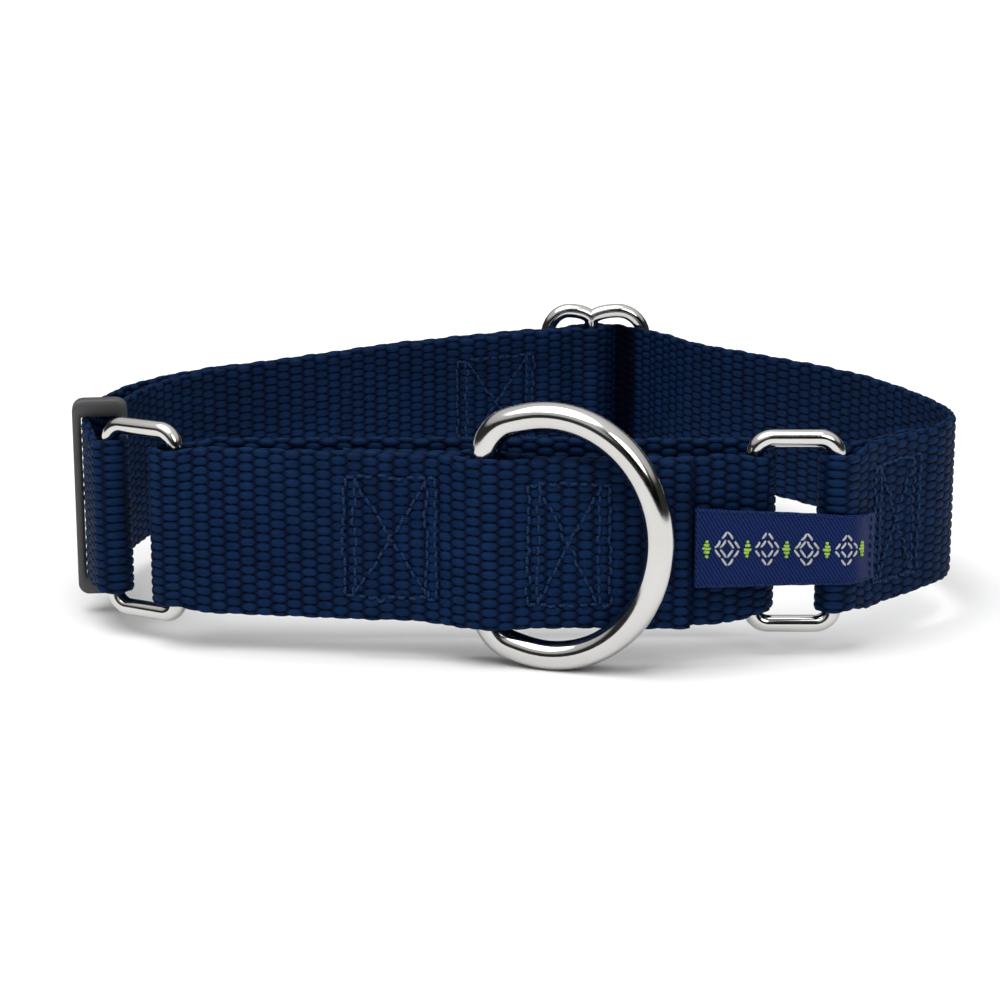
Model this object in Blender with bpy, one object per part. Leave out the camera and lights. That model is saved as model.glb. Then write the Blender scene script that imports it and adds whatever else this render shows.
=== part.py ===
"""Martingale dog collar, standing open on its edges.

Plan view (X to the right, Y away from the front, Z up): the control loop is the flat band
across the front, the neck strap runs from the right ring round the back to the left ring,
doubles back inside itself and ends on the middle bar of the tri-glide.
All driving sizes are in millimetres in plan co-ordinates whose Y = 0 is the front band;
to_world() moves them to the part's own frame and into metres.
"""
import math

import bmesh
import bpy
import numpy as np

# ---------------------------------------------------------------- driving sizes, mm
WEB_WIDTH = 37.4            # nominal 38 mm (1 1/2 in) webbing as woven
WEB_THICK = 2.0
WEB_MID_Z = 19.0            # height of the webbing's centre line above its lower edge level
PLY_GAP = 0.35              # air between touching plies
PLY_STEP = WEB_THICK + PLY_GAP
SQUEEZE = 2.4               # webbing gathers by this much where it turns round a bar
SQUEEZE_REACH = 9.0

RING_WIRE_R = 1.9           # rectangular rings
RING_BAR_SPACING = 18.2
RING_HALF_HEIGHT = 20.9
RING_CORNER = 4.0
RING_LEFT_ANGLE = -30.0     # plan direction from the left ring's outer bar to its inner bar

DRING_WIRE_R = 3.2
DRING_BAR = (-3.2, 2.95)    # plan position of the straight bar
DRING_MID_Z = 20.6
DRING_ARC_MID = 14.5        # distance from the bar to the middle of the bow
DRING_ARC_A = 24.3          # bow half-width
DRING_ARC_B = 26.3          # bow half-height
DRING_CORNER = 9.0
DRING_SHOULDER = 16.5       # half length of the bar's straight part
DRING_CORNER_END = 118.0    # degrees round the corner where the bow takes over
DRING_BOW_START = 8.6       # distance from the bar where the elliptical bow starts
DRING_REST_ANGLE = -17.5    # degrees from +X, towards the front

TRI_WIRE_R = 2.0
TRI_Y = 182.0
TRI_BARS = (13.4, 26.2, 41.4)       # X of the left, middle and right bars
TRI_BAR_HALF = 14.5                 # straight part of the outer bars
TRI_TOP = 23.0                      # crown of each bow above the middle height
TRI_NOTCH = 20.3                    # where the two bows meet
TRI_MIDDLE_SHARE = 0.98             # the middle bar is this much of the wire's thickness

KEEPER_BAR = 1.7
KEEPER_END_BAR = 3.9
KEEPER_DEPTH = 5.0
KEEPER_REACH = 20.5                 # from the left ring's bar along the strap
KEEPER_CLEAR = 0.6
KEEPER_CLEAR_UP = 0.4               # above and below the webbing
KEEPER_CORNERS = (2.6, 0.6)         # outer and inner corner radii
KEEPER_EDGE = 0.5

LABEL_HEIGHT = 17.5
LABEL_THICK = 0.6
LABEL_MID_Z = 18.8          # at the label's left end
LABEL_HEIGHT_END = 15.0     # the label tapers and drops towards its sewn right end
LABEL_DROP = 3.7

STITCH_LINE = 1.1
STITCH_THICK = 0.5
STITCH_LIFT = 0.3
BOX_HEIGHT = 27.0
FRONT_BOXES = ((-33.6, -13.4), (5.8, 23.6))     # X of the box stitches beside the D-ring
RIGHT_BOX = (10.2, 28.2)    # along the strap from the right ring
TRI_BOX = (-12.0, 9.0)      # X of the box stitch beside the tri-glide
LABEL_SEAM = (1.6, 2.6)     # distances of the label's seam from its right end
LABEL_SEAM_MARGIN = 1.5     # label height that the seam leaves free

FOLD_R = RING_WIRE_R + PLY_GAP + WEB_THICK / 2        # centre line of webbing round a ring bar
TRI_FOLD_R = TRI_WIRE_R + PLY_GAP + WEB_THICK / 2
SEWN_END = 29.0             # length of the right end sewn under the strap
TRI_TAIL = 27.0             # length of the end sewn back, left of the tri-glide's left bar
TAIL_CLEAR = 2.0            # the plies have parted this far beyond the tail's end
TAIL_RISE = 7.0             # and part over this length
RIGHT_CLOSE = 13.0          # the right end closes onto the strap over this length
SPLIT_GAP = 0.3             # air where the strap is divided at its flex line
STEP = 2.5                  # spacing of the samples along a strap
BRIDGE_LEAD = 5.0           # the inner ply leaves the outer run's shape this far before the left bar

# Space between the doubled strap's plies: from, to (lengths from the left ring) and change.
GAP_CHANGES = ((2.0, 20.0, -0.5), (28.0, 48.0, -0.6), (48.0, 100.0, PLY_STEP - 2 * FOLD_R + 1.1))

ORIGIN = (4.14, 88.4, -8.75)  # plan point under the middle of the collar, at the lowest metal

# Neck strap centre line, from the right ring round the back to the left ring.
NECK = [(76.1, 8.4), (84.9, 20.0), (92.9, 28.6), (100.0, 36.4), (104.3, 44.5), (105.5, 54.5),
        (103.9, 67.0), (100.3, 80.5), (94.8, 95.0), (87.5, 108.6), (78.5, 121.5), (68.5, 133.0), (59.4, 143.6),
        (51.9, 155.0), (46.2, 167.0), (39.0, 179.3), (26.2, 187.7), (15.3, 178.9), (5.5, 173.6), (-7.0, 166.2),
        (-27.0, 152.2), (-50.0, 132.4), (-72.0, 114.2), (-84.6, 100.5), (-92.0, 85.5), (-95.1, 68.0),
        (-95.5, 50.0), (-93.2, 37.0), (-89.0, 25.3)]
NECK_SPLIT = (44.3, 170.8)          # where the strap leaves the tri-glide and flexes

# Control loop: outer ply from the left, over the D-ring bar, to its raw end.
LOOP_OUTER = [(-70.5, 12.0), (-56.0, 10.2), (-40.0, 7.6), (-24.0, 5.4), (-13.5, 3.4), (-8.2, 0.2),
              (-3.2, -2.1), (2.5, -1.9), (9.0, -1.1), (24.0, -1.1), (34.0, -1.3), (41.0, -1.3)]
LOOP_UNDER = [(-34.0, 9.2), (-24.0, 7.85), (-13.5, 6.9), (-8.5, 7.2), (-3.2, 7.5), (1.8, 5.6),
              (8.0, 1.95), (14.0, 1.4), (24.0, 1.3), (34.0, 1.1), (42.0, 1.4), (50.8, 3.9)]
LOOP_END_RIGHT = (50.8, 12.45, 8.55)    # centre and radius of the turn at the right ring
LOOP_END_LEFT = (-70.5, 16.5, 4.5)

LABEL_PATH = [(41.6, -3.1), (50.0, -1.0), (60.0, 1.9), (68.0, 3.9), (73.2, 5.1), (77.3, 7.1), (82.4, 14.0)]

NAVY = (0.006, 0.016, 0.055)
THREAD = (0.008, 0.018, 0.060)


# ---------------------------------------------------------------- plan geometry
def to_world(x, y, z):
    """Plan millimetres to the part's frame in metres."""
    return ((x - ORIGIN[0]) / 1000, (y - ORIGIN[1]) / 1000, (z - ORIGIN[2]) / 1000)


def lengths(path):
    return np.concatenate([[0.0], np.cumsum(np.linalg.norm(np.diff(path, axis=0), axis=1))])


def resample(path, step):
    s = lengths(path)
    t = np.linspace(0.0, s[-1], max(2, int(round(s[-1] / step)) + 1))
    return np.column_stack([np.interp(t, s, path[:, k]) for k in range(path.shape[1])])


def smooth(points, step):
    """Centripetal Catmull-Rom curve through the points, resampled every step."""
    p = np.array(points, float)
    p = np.vstack([2 * p[0] - p[1], p, 2 * p[-1] - p[-2]])
    out = []
    for i in range(1, len(p) - 2):
        q = p[i - 1:i + 3]
        t = np.concatenate([[0.0], np.cumsum(np.sqrt(np.linalg.norm(np.diff(q, axis=0), axis=1)))])
        for u in np.linspace(t[1], t[2], 40, endpoint=False):
            a = [((t[k + 1] - u) * q[k] + (u - t[k]) * q[k + 1]) / (t[k + 1] - t[k]) for k in range(3)]
            b = [((t[k + 2] - u) * a[k] + (u - t[k]) * a[k + 1]) / (t[k + 2] - t[k]) for k in range(2)]
            out.append(((t[2] - u) * b[0] + (u - t[1]) * b[1]) / (t[2] - t[1]))
    out.append(p[-2])
    return resample(np.array(out), step)


def left_normals(path):
    """Unit normals to the left of the direction of travel."""
    d = np.gradient(path, axis=0)
    d /= np.linalg.norm(d, axis=1)[:, None]
    return np.column_stack([-d[:, 1], d[:, 0]])


def nearest(path, point):
    return int(np.argmin(np.linalg.norm(path - np.array(point), axis=1)))


def ramp(t, start, end):
    x = np.clip((t - start) / (end - start), 0.0, 1.0)
    return x * x * (3 - 2 * x)


def arc(centre, radius, start, end, count):
    a = np.radians(np.linspace(start, end, count))
    return np.column_stack([centre[0] + radius * np.cos(a), centre[1] + radius * np.sin(a)])


def angle_of(vector):
    return math.degrees(math.atan2(vector[1], vector[0]))


class NeckLayout:
    """The neck strap's centre lines and the bars that it turns round.

    The outer run travels from the right ring round the back to the left ring, so the neck
    lies on its left-hand side, and every inner ply is the outer run shifted inwards.
    """

    def __init__(self):
        run = smooth(NECK, STEP)
        inward = left_normals(run)
        s = lengths(run)
        back_s = s[-1] - s
        self.run = run
        self.right_bar = run[0] + inward[0] * FOLD_R
        self.left_bar = run[-1] + inward[-1] * FOLD_R
        self.middle_bar = np.array([TRI_BARS[1], TRI_Y])
        split = nearest(run, NECK_SPLIT)
        middle = nearest(run, self.middle_bar + (0.0, TRI_FOLD_R + PLY_STEP))
        left_bar_at = nearest(run, (TRI_BARS[0], TRI_Y - 3.0))
        tail_end = int(np.argmin(np.abs(s - s[left_bar_at] - TRI_TAIL)))
        self.hinge = run[split]

        # right piece: sewn tail, turn round the right ring's bar, outer run up to the flex line
        gap = 2 * FOLD_R + (PLY_STEP - 2 * FOLD_R) * ramp(s, 0.0, RIGHT_CLOSE)
        inner = run + inward * gap[:, None]
        tail = inner[(s > 0.5) & (s < SEWN_END)][::-1]
        start = angle_of(-inward[0])
        turn = arc(self.right_bar, FOLD_R, start - 180.0, start, 11)
        flex = run[split] - run[split - 1]
        flex /= np.linalg.norm(flex)
        self.right = np.vstack([tail, turn, run[1:split], run[split] - flex * SPLIT_GAP / 2])

        # left piece: outer run over the tri-glide to the left ring, back inside, round the middle bar
        gap = 2 * FOLD_R + sum(change * ramp(back_s, start, end) for start, end, change in GAP_CHANGES)
        gap = gap + PLY_STEP * ramp(s[tail_end] + TAIL_CLEAR + TAIL_RISE - s, 0.0, TAIL_RISE)
        inner = run + inward * gap[:, None]
        front = inner[left_bar_at:-1][::-1]
        start = angle_of(-inward[-1])
        turn_left = arc(self.left_bar, FOLD_R, start, start + 180.0, 11)
        turn_mid = arc(self.middle_bar, TRI_FOLD_R, -90.0, 90.0, 9)
        lead = int(round(BRIDGE_LEAD / STEP))
        bridge = smooth([front[-1 - lead], front[-1], turn_mid[0] + (-5.0, -0.9), turn_mid[0]], STEP)
        bridge = bridge[nearest(bridge, front[-1]) + 1:-1]
        back = (run + inward * PLY_STEP)[middle + 1:tail_end + 1]
        self.left = np.vstack([run[split] + flex * SPLIT_GAP / 2, run[split + 1:-1], turn_left,
                               front, bridge, turn_mid, back])
        self.front_ply = np.vstack([front, bridge])
        keeper_at = int(np.argmin(np.abs(back_s - KEEPER_REACH)))
        self.keeper_mid = (run + inward * gap[:, None] / 2)[keeper_at]
        self.keeper_dir = run[keeper_at + 1] - run[keeper_at - 1]
        self.keeper_dir /= np.linalg.norm(self.keeper_dir)
        self.keeper_gap = float(gap[keeper_at])


def control_loop_path():
    """One length of webbing: under ply, right turn, inner ply, left turn, outer ply."""
    under = smooth(LOOP_UNDER, STEP)
    outer = smooth(LOOP_OUTER, STEP)
    right = arc(LOOP_END_RIGHT[:2], LOOP_END_RIGHT[2], -90.0, 90.0, 15)
    left = arc(LOOP_END_LEFT[:2], LOOP_END_LEFT[2], 90.0, 270.0, 11)
    straight = resample(np.array([right[-1], left[0]]), 8.0)
    return np.vstack([under, right[1:], straight[1:-1], left, outer[1:]]), outer


# ---------------------------------------------------------------- mesh helpers
def material(name, color, roughness, metallic=0.0):
    mat = bpy.data.materials.new(name)
    mat.use_nodes = True
    shader = mat.node_tree.nodes["Principled BSDF"]
    shader.inputs["Base Color"].default_value = (*color, 1.0)
    shader.inputs["Roughness"].default_value = roughness
    shader.inputs["Metallic"].default_value = metallic
    return mat


def new_object(name, bm, mat, origin=(0.0, 0.0, 0.0), round_piece=False):
    """Make an object whose mesh is given in world metres and whose origin is at origin."""
    bmesh.ops.recalc_face_normals(bm, faces=bm.faces)
    bmesh.ops.translate(bm, verts=bm.verts, vec=[-c for c in origin])
    mesh = bpy.data.meshes.new(name)
    bm.to_mesh(mesh)
    bm.free()
    mesh.materials.append(mat)
    if round_piece:
        mesh.shade_smooth()
        mesh.set_sharp_from_angle(angle=math.radians(40))
    obj = bpy.data.objects.new(name, mesh)
    obj.location = origin
    bpy.context.scene.collection.objects.link(obj)
    return obj


def squeezed_width(path, bars):
    """Webbing width along a path, gathered near each bar that it turns round."""
    width = np.full(len(path), WEB_WIDTH)
    for bar in bars:
        d = np.linalg.norm(path - np.array(bar), axis=1)
        width = np.minimum(width, WEB_WIDTH - SQUEEZE * (1 - ramp(d, 4.0, SQUEEZE_REACH)))
    return width


def ribbon(name, path, mat, width, thick=WEB_THICK, mid_z=WEB_MID_Z, origin=(0.0, 0.0, 0.0)):
    """Sweep a thin upright rectangle along a plan path as one closed body."""
    side = left_normals(path) * thick / 2
    bm = bmesh.new()
    rings = []
    widths = np.broadcast_to(width, len(path))
    heights = np.broadcast_to(mid_z, len(path))
    for point, offset, w, z in zip(path, side, widths, heights):
        corners = [(1, 1), (-1, 1), (-1, -1), (1, -1)]
        ring = [to_world(point[0] + a * offset[0], point[1] + a * offset[1], z + b * w / 2) for a, b in corners]
        rings.append([bm.verts.new(v) for v in ring])
    for one, two in zip(rings, rings[1:]):
        for k in range(4):
            bm.faces.new((one[k], one[(k + 1) % 4], two[(k + 1) % 4], two[k]))
    bm.faces.new(rings[0][::-1])
    bm.faces.new(rings[-1])
    return new_object(name, bm, mat, origin)


def tube_mesh(bm, points, radius, sides, closed=True):
    """Round wire along a list of 3D plan points; a closed wire has no ends."""
    p = np.array(points, float)
    if closed:
        d = np.roll(p, -1, axis=0) - np.roll(p, 1, axis=0)
    else:
        d = np.gradient(p, axis=0)
    d /= np.linalg.norm(d, axis=1)[:, None]
    plane = np.cross(p[1] - p[0], p[len(p) // 3] - p[0])
    if np.linalg.norm(plane) < 1e-6:
        plane = np.array([0.0, 1.0, 0.0])
    plane /= np.linalg.norm(plane)
    rings = []
    for point, along in zip(p, d):
        across = np.cross(along, plane)
        ring = []
        for k in range(sides):
            a = 2 * math.pi * (k + 0.5) / sides
            out = math.cos(a) * across + math.sin(a) * plane
            ring.append(bm.verts.new(to_world(*(point + radius * out))))
        rings.append(ring)
    pairs = list(zip(rings, rings[1:] + rings[:1])) if closed else list(zip(rings, rings[1:]))
    for one, two in pairs:
        for k in range(sides):
            bm.faces.new((one[k], one[(k + 1) % sides], two[(k + 1) % sides], two[k]))
    if not closed:
        bm.faces.new(rings[0][::-1])
        bm.faces.new(rings[-1])


# ---------------------------------------------------------------- webbing
def build_webbing(neck, mat):
    loop, outer = control_loop_path()
    bars = [neck.left_inner_bar, neck.right_inner_bar]
    ribbon("control_loop", loop, mat, squeezed_width(loop, bars))
    tri = [(x, TRI_Y) for x in TRI_BARS]
    hinge = to_world(*neck.hinge, WEB_MID_Z)
    ribbon("neck_strap_left", neck.left, mat, squeezed_width(neck.left, [neck.left_bar] + tri))
    width = squeezed_width(neck.right, [neck.right_bar] + tri)
    ribbon("neck_strap_right", neck.right, mat, width, origin=hinge)
    return outer


# ---------------------------------------------------------------- metal and plastic
def rounded_outline(half_width, half_height, corner, corner_points):
    """Rounded rectangle as (across, up) points."""
    points = []
    for sx, sz, start in ((1, 1, 0), (-1, 1, 90), (-1, -1, 180), (1, -1, 270)):
        centre = (sx * (half_width - corner), sz * (half_height - corner))
        points.extend(arc(centre, corner, start, start + 90, corner_points))
    return points


def build_ring(name, outer_bar, inner_bar, mat, origin_bar):
    across = (inner_bar - outer_bar) / np.linalg.norm(inner_bar - outer_bar)
    mid = (outer_bar + inner_bar) / 2
    outline = rounded_outline(RING_BAR_SPACING / 2, RING_HALF_HEIGHT, RING_CORNER, 6)
    points = [(*(mid + across * u), WEB_MID_Z + v) for u, v in outline]
    bm = bmesh.new()
    tube_mesh(bm, points, RING_WIRE_R, 12)
    new_object(name, bm, mat, to_world(*origin_bar, WEB_MID_Z), round_piece=True)


def d_ring_outline():
    """Straight bar at 0, wide corners, elliptical bow; (out, up) points."""
    turn = math.acos((DRING_BOW_START - DRING_ARC_MID) / DRING_ARC_A)
    corner = arc((DRING_CORNER, DRING_SHOULDER), DRING_CORNER, 180.0, DRING_CORNER_END, 7)
    upper = [(0.0, y) for y in np.linspace(0.0, DRING_SHOULDER, 5)]
    upper += [tuple(q) for q in corner[1:]]
    for a in np.linspace(turn, 0.0, 17):
        upper.append((DRING_ARC_MID + DRING_ARC_A * math.cos(a), DRING_ARC_B * math.sin(a)))
    lower = [(u, -v) for u, v in upper[1:-1]][::-1]
    return upper + lower


def build_d_ring(mat):
    a = math.radians(DRING_REST_ANGLE)
    points = [(DRING_BAR[0] + u * math.cos(a), DRING_BAR[1] + u * math.sin(a), DRING_MID_Z + v)
              for u, v in d_ring_outline()]
    bm = bmesh.new()
    tube_mesh(bm, points, DRING_WIRE_R, 12)
    new_object("d_ring", bm, mat, to_world(*DRING_BAR, DRING_MID_Z), round_piece=True)


def build_tri_glide(mat):
    """Figure-eight slider: two bowed loops that share a middle bar."""
    left, middle, right = TRI_BARS
    upper = []
    for x0, x1 in ((left, middle), (middle, right)):
        mid, half = (x0 + x1) / 2, (x1 - x0) / 2
        outer_sign = -1 if x0 == left else 1
        for t in np.linspace(math.pi, 0.0, 11):
            u = math.cos(t)
            on_outer_side = u * outer_sign > 0
            foot = TRI_BAR_HALF if on_outer_side else TRI_NOTCH
            upper.append((mid + half * u, foot + (TRI_TOP - foot) * math.sin(t)))
    upper = upper[:11] + upper[12:]
    outline = upper + [(x, -z) for x, z in upper][::-1]
    points = [(x, TRI_Y, WEB_MID_Z + z) for x, z in outline]
    bm = bmesh.new()
    tube_mesh(bm, points, TRI_WIRE_R, 10)
    frame = new_object("tri_glide", bm, mat, to_world(middle, TRI_Y, WEB_MID_Z), round_piece=True)
    bm = bmesh.new()
    tube_mesh(bm, [(middle, TRI_Y, WEB_MID_Z + z) for z in (-TRI_NOTCH, 0.0, TRI_NOTCH)],
              TRI_WIRE_R * TRI_MIDDLE_SHARE, 10, closed=False)
    bar = new_object("tri_glide_bar_cutter", bm, mat, to_world(middle, TRI_Y, WEB_MID_Z))
    bar.hide_render = True
    bar.display_type = "WIRE"
    union = frame.modifiers.new("middle_bar", "BOOLEAN")
    union.operation = "UNION"
    union.solver = "EXACT"
    union.object = bar


def build_keeper(neck, mat):
    """Rectangular moulded frame round both plies of the strap, next to the left ring."""
    along = neck.keeper_dir
    across = np.array([-along[1], along[0]])
    inner_half = neck.keeper_gap / 2 + WEB_THICK / 2 + KEEPER_CLEAR
    outer_half = inner_half + KEEPER_BAR
    inner_up = WEB_WIDTH / 2 + KEEPER_CLEAR_UP
    outer_up = inner_up + KEEPER_END_BAR
    outer = rounded_outline(outer_half, outer_up, KEEPER_CORNERS[0], 5)
    inner = rounded_outline(inner_half, inner_up, KEEPER_CORNERS[1], 5)
    bm = bmesh.new()
    loops = []
    for depth in (-KEEPER_DEPTH / 2, KEEPER_DEPTH / 2):
        for loop in (outer, inner):
            verts = []
            for u, v in loop:
                p = neck.keeper_mid + across * u + along * depth
                verts.append(bm.verts.new(to_world(p[0], p[1], WEB_MID_Z + v)))
            loops.append(verts)
    near_out, near_in, far_out, far_in = loops
    count = len(outer)
    for one, two in ((near_out, far_out), (far_in, near_in), (near_in, near_out), (far_out, far_in)):
        for k in range(count):
            j = (k + 1) % count
            bm.faces.new((one[k], one[j], two[j], two[k]))
    obj = new_object("keeper", bm, mat, to_world(*neck.keeper_mid, WEB_MID_Z))
    bevel = obj.modifiers.new("soft_edges", "BEVEL")
    bevel.width = KEEPER_EDGE / 1000
    bevel.segments = 2
    bevel.angle_limit = math.radians(50)
    bevel.limit_method = "ANGLE"


# ---------------------------------------------------------------- label and sewing
def build_label(mat):
    path = smooth(LABEL_PATH, 3.0)
    share = lengths(path) / lengths(path)[-1]
    height = LABEL_HEIGHT + (LABEL_HEIGHT_END - LABEL_HEIGHT) * share
    ribbon("label", path, mat, height, LABEL_THICK, LABEL_MID_Z - LABEL_DROP * share)


def stitch_patch(name, path, side, height, mid_z, mat, cross=True, lift=None):
    """Raised thread figure on one face of a strap: a box, with a cross in it if cross is set.

    path is the strap's centre line over the patch and side is +1 for the face on its left.
    """
    lift = WEB_THICK / 2 + STITCH_LIFT if lift is None else lift
    columns = max(2, int(round(lengths(path)[-1] / STITCH_LINE)))
    rows = max(8, int(round(height / STITCH_LINE)))
    line = resample(path, lengths(path)[-1] / columns)[:columns + 1]
    normal = left_normals(line) * side
    filled = np.zeros((columns, rows), bool)
    if cross:
        filled[0, :] = filled[-1, :] = filled[:, 0] = filled[:, -1] = True
        for i in range(columns):
            centre = i / (columns - 1) * (rows - 1)
            reach = rows / columns
            for j in range(rows):
                if abs(j - centre) <= reach or abs(rows - 1 - j - centre) <= reach:
                    filled[i, j] = True
    else:
        filled[:, :] = True
    bm = bmesh.new()
    grid = {}

    def vert(i, j, level):
        key = (i, j, level)
        if key not in grid:
            p = line[i] + normal[i] * (lift + level * STITCH_THICK)
            grid[key] = bm.verts.new(to_world(p[0], p[1], mid_z - height / 2 + height * j / rows))
        return grid[key]

    def empty(i, j):
        return not (0 <= i < columns and 0 <= j < rows) or not filled[i, j]

    for i, j in zip(*np.nonzero(filled)):
        a, b, c, d = (i, j), (i + 1, j), (i + 1, j + 1), (i, j + 1)
        bm.faces.new([vert(*q, 1) for q in (a, b, c, d)])
        bm.faces.new([vert(*q, 0) for q in (d, c, b, a)])
        for (p, q), (ni, nj) in zip(((a, b), (b, c), (c, d), (d, a)), ((0, -1), (1, 0), (0, 1), (-1, 0))):
            if empty(i + ni, j + nj):
                bm.faces.new((vert(*p, 1), vert(*p, 0), vert(*q, 0), vert(*q, 1)))
    new_object(name, bm, mat)


def span(path, start_x, end_x):
    """The stretch of a path between two X positions."""
    return path[(path[:, 0] >= start_x) & (path[:, 0] <= end_x)]


def stretch(path, start, end):
    """The stretch of a path between two lengths."""
    s = lengths(path)
    return path[(s >= start) & (s <= end)]


def build_sewing(neck, outer, mat):
    fine = resample(outer, 0.5)
    for name, ends in zip(("box_stitch_front_left", "box_stitch_front_right"), FRONT_BOXES):
        stitch_patch(name, span(fine, *ends), -1, BOX_HEIGHT, WEB_MID_Z, mat)
    panel = stretch(resample(neck.run, 0.5), *RIGHT_BOX)
    stitch_patch("box_stitch_right_end", panel, -1, BOX_HEIGHT, WEB_MID_Z, mat)
    front = resample(neck.front_ply, 0.5)
    beside_slider = span(front[len(front) // 2:], *TRI_BOX)
    stitch_patch("box_stitch_tri_glide", beside_slider, -1, BOX_HEIGHT, WEB_MID_Z, mat)
    label = smooth(LABEL_PATH, 0.5)
    length = lengths(label)[-1]
    seam = stretch(label, length - LABEL_SEAM[1], length - LABEL_SEAM[0])
    height = LABEL_HEIGHT_END - LABEL_SEAM_MARGIN
    stitch_patch("label_stitch", seam, -1, height, LABEL_MID_Z - LABEL_DROP, mat, cross=False,
                 lift=LABEL_THICK / 2 + STITCH_LIFT)


def main():
    for obj in list(bpy.data.objects):
        bpy.data.objects.remove(obj, do_unlink=True)

    webbing = material("navy_webbing", NAVY, 0.75)
    thread = material("navy_thread", THREAD, 0.6)
    nickel = material("nickel", (0.72, 0.70, 0.66), 0.18, 1.0)
    plastic = material("keeper_plastic", (0.035, 0.036, 0.038), 0.55)
    satin = material("label_satin", (0.006, 0.016, 0.075), 0.45)

    neck = NeckLayout()
    a = math.radians(RING_LEFT_ANGLE)
    neck.left_inner_bar = neck.left_bar + RING_BAR_SPACING * np.array([math.cos(a), math.sin(a)])
    neck.right_inner_bar = neck.right_bar - (RING_BAR_SPACING, 0.0)

    outer = build_webbing(neck, webbing)
    build_ring("ring_left", neck.left_bar, neck.left_inner_bar, nickel, neck.left_inner_bar)
    build_ring("ring_right", neck.right_bar, neck.right_inner_bar, nickel, neck.right_bar)
    build_d_ring(nickel)
    build_tri_glide(nickel)
    build_keeper(neck, plastic)
    build_label(satin)
    build_sewing(neck, outer, thread)
    return neck


main()
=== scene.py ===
"""Looks of the martingale collar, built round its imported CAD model.

Webbing, thread, label, wire and keeper are modelled in the plan millimetres of the CAD source
(X right, Y away from the front band, Z up from near the webbing's lower edge) and moved to the
frame by to_frame(). Every strap is swept with its woven relief as real geometry, and its UV map
counts weave columns along the strap and weave rows round its section.

The driving sizes are the CAD source's. The looks depart from them only at the left end of the
neck strap and the control loop, at the label's free end, and in TRI_SQUEEZE, KEEPER_SNUG,
KEEPER_SHIFT and JOINT_LAP.
"""
import math

import bpy
import numpy as np
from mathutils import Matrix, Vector


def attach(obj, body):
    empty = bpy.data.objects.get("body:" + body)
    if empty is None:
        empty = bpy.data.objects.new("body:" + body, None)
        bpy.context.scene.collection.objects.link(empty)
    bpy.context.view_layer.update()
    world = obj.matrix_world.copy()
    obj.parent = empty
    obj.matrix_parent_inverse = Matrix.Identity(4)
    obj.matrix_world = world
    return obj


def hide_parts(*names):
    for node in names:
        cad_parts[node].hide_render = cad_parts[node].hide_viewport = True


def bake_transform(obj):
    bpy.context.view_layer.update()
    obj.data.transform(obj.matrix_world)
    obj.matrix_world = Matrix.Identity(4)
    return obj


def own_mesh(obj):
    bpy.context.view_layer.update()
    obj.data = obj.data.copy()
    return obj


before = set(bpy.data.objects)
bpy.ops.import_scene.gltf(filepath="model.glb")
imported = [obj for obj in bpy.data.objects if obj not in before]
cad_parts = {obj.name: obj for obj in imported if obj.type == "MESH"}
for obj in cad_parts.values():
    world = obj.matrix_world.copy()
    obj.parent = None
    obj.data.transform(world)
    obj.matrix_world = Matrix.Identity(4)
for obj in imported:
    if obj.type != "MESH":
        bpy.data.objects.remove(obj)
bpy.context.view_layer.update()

# -------------------- driving sizes, mm
WEB_WIDTH = 37.4
WEB_THICK = 2.0
WEB_MID_Z = 19.0
PLY_GAP = 0.35
PLY_STEP = WEB_THICK + PLY_GAP
SQUEEZE = 2.4  # the webbing is narrower by this in a ring
SQUEEZE_FULL = 4.0  # all of it within this distance of the bar, none past SQUEEZE_REACH
SQUEEZE_REACH = 9.0
TRI_SQUEEZE = 0.6  # the webbing keeps nearly its full width round the tri-glide
RING_WIRE_R = 1.9
RING_BAR_SPACING = 18.2
RING_HALF_HEIGHT = 20.9
RING_CORNER = 4.0
RING_LEFT_ANGLE = -30.0
RING_SIDES = 28
DRING_WIRE_R = 3.2
DRING_BAR = (-3.2, 2.95)
DRING_MID_Z = 20.6
DRING_ARC_MID = 14.5
DRING_ARC_A = 24.3
DRING_ARC_B = 26.3
DRING_CORNER = 9.0
DRING_SHOULDER = 16.5
DRING_CORNER_END = 118.0
DRING_BOW_START = 8.6
DRING_REST_ANGLE = -17.5
DRING_STEP = 0.6
DRING_ROUNDING = 6  # passes that even out the bends of its outline
DRING_SIDES = 40
TRI_WIRE_R = 2.0
TRI_Y = 182.0
TRI_BARS = (13.4, 26.2, 41.4)
TRI_BAR_HALF = 14.5
TRI_TOP = 23.0
TRI_NOTCH = 20.3
TRI_SIDES = 22
TRI_ARCH_POINTS = 29
TRI_BAR_SHARE = 0.98  # the middle bar is a little thinner than the bowed loops
KEEPER_BAR = 1.7
KEEPER_END_BAR = 3.9
KEEPER_DEPTH = 5.0
KEEPER_REACH = 20.5
KEEPER_CLEAR = 0.6
KEEPER_CLEAR_UP = 0.4
KEEPER_INNER_CORNER = 0.6
KEEPER_OUTER_CORNER = 2.6
KEEPER_EDGE = 0.30
KEEPER_CORNER_POINTS = 10
KEEPER_CROWN = 0.05  # the frame's faces bulge by this share of its depth
KEEPER_SNUG = 0.25  # the side bars are this much thicker inwards than the CAD's
KEEPER_SHIFT = 0.15  # and the frame stands this much further in, with its outer bar close to the strap
LABEL_HEIGHT = 17.5
LABEL_THICK = 0.6
LABEL_MID_Z = 18.8
LABEL_HEIGHT_END = 15.0
LABEL_DROP = 3.7
FOLD_R = RING_WIRE_R + PLY_GAP + WEB_THICK / 2
TRI_FOLD_R = TRI_WIRE_R + PLY_GAP + WEB_THICK / 2
SEWN_END = 29.0
TRI_TAIL = 27.0
TAIL_CLEAR = 2.0
TAIL_RISE = 7.0
RIGHT_CLOSE = 13.0
FOLD_POINTS = 41
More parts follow.
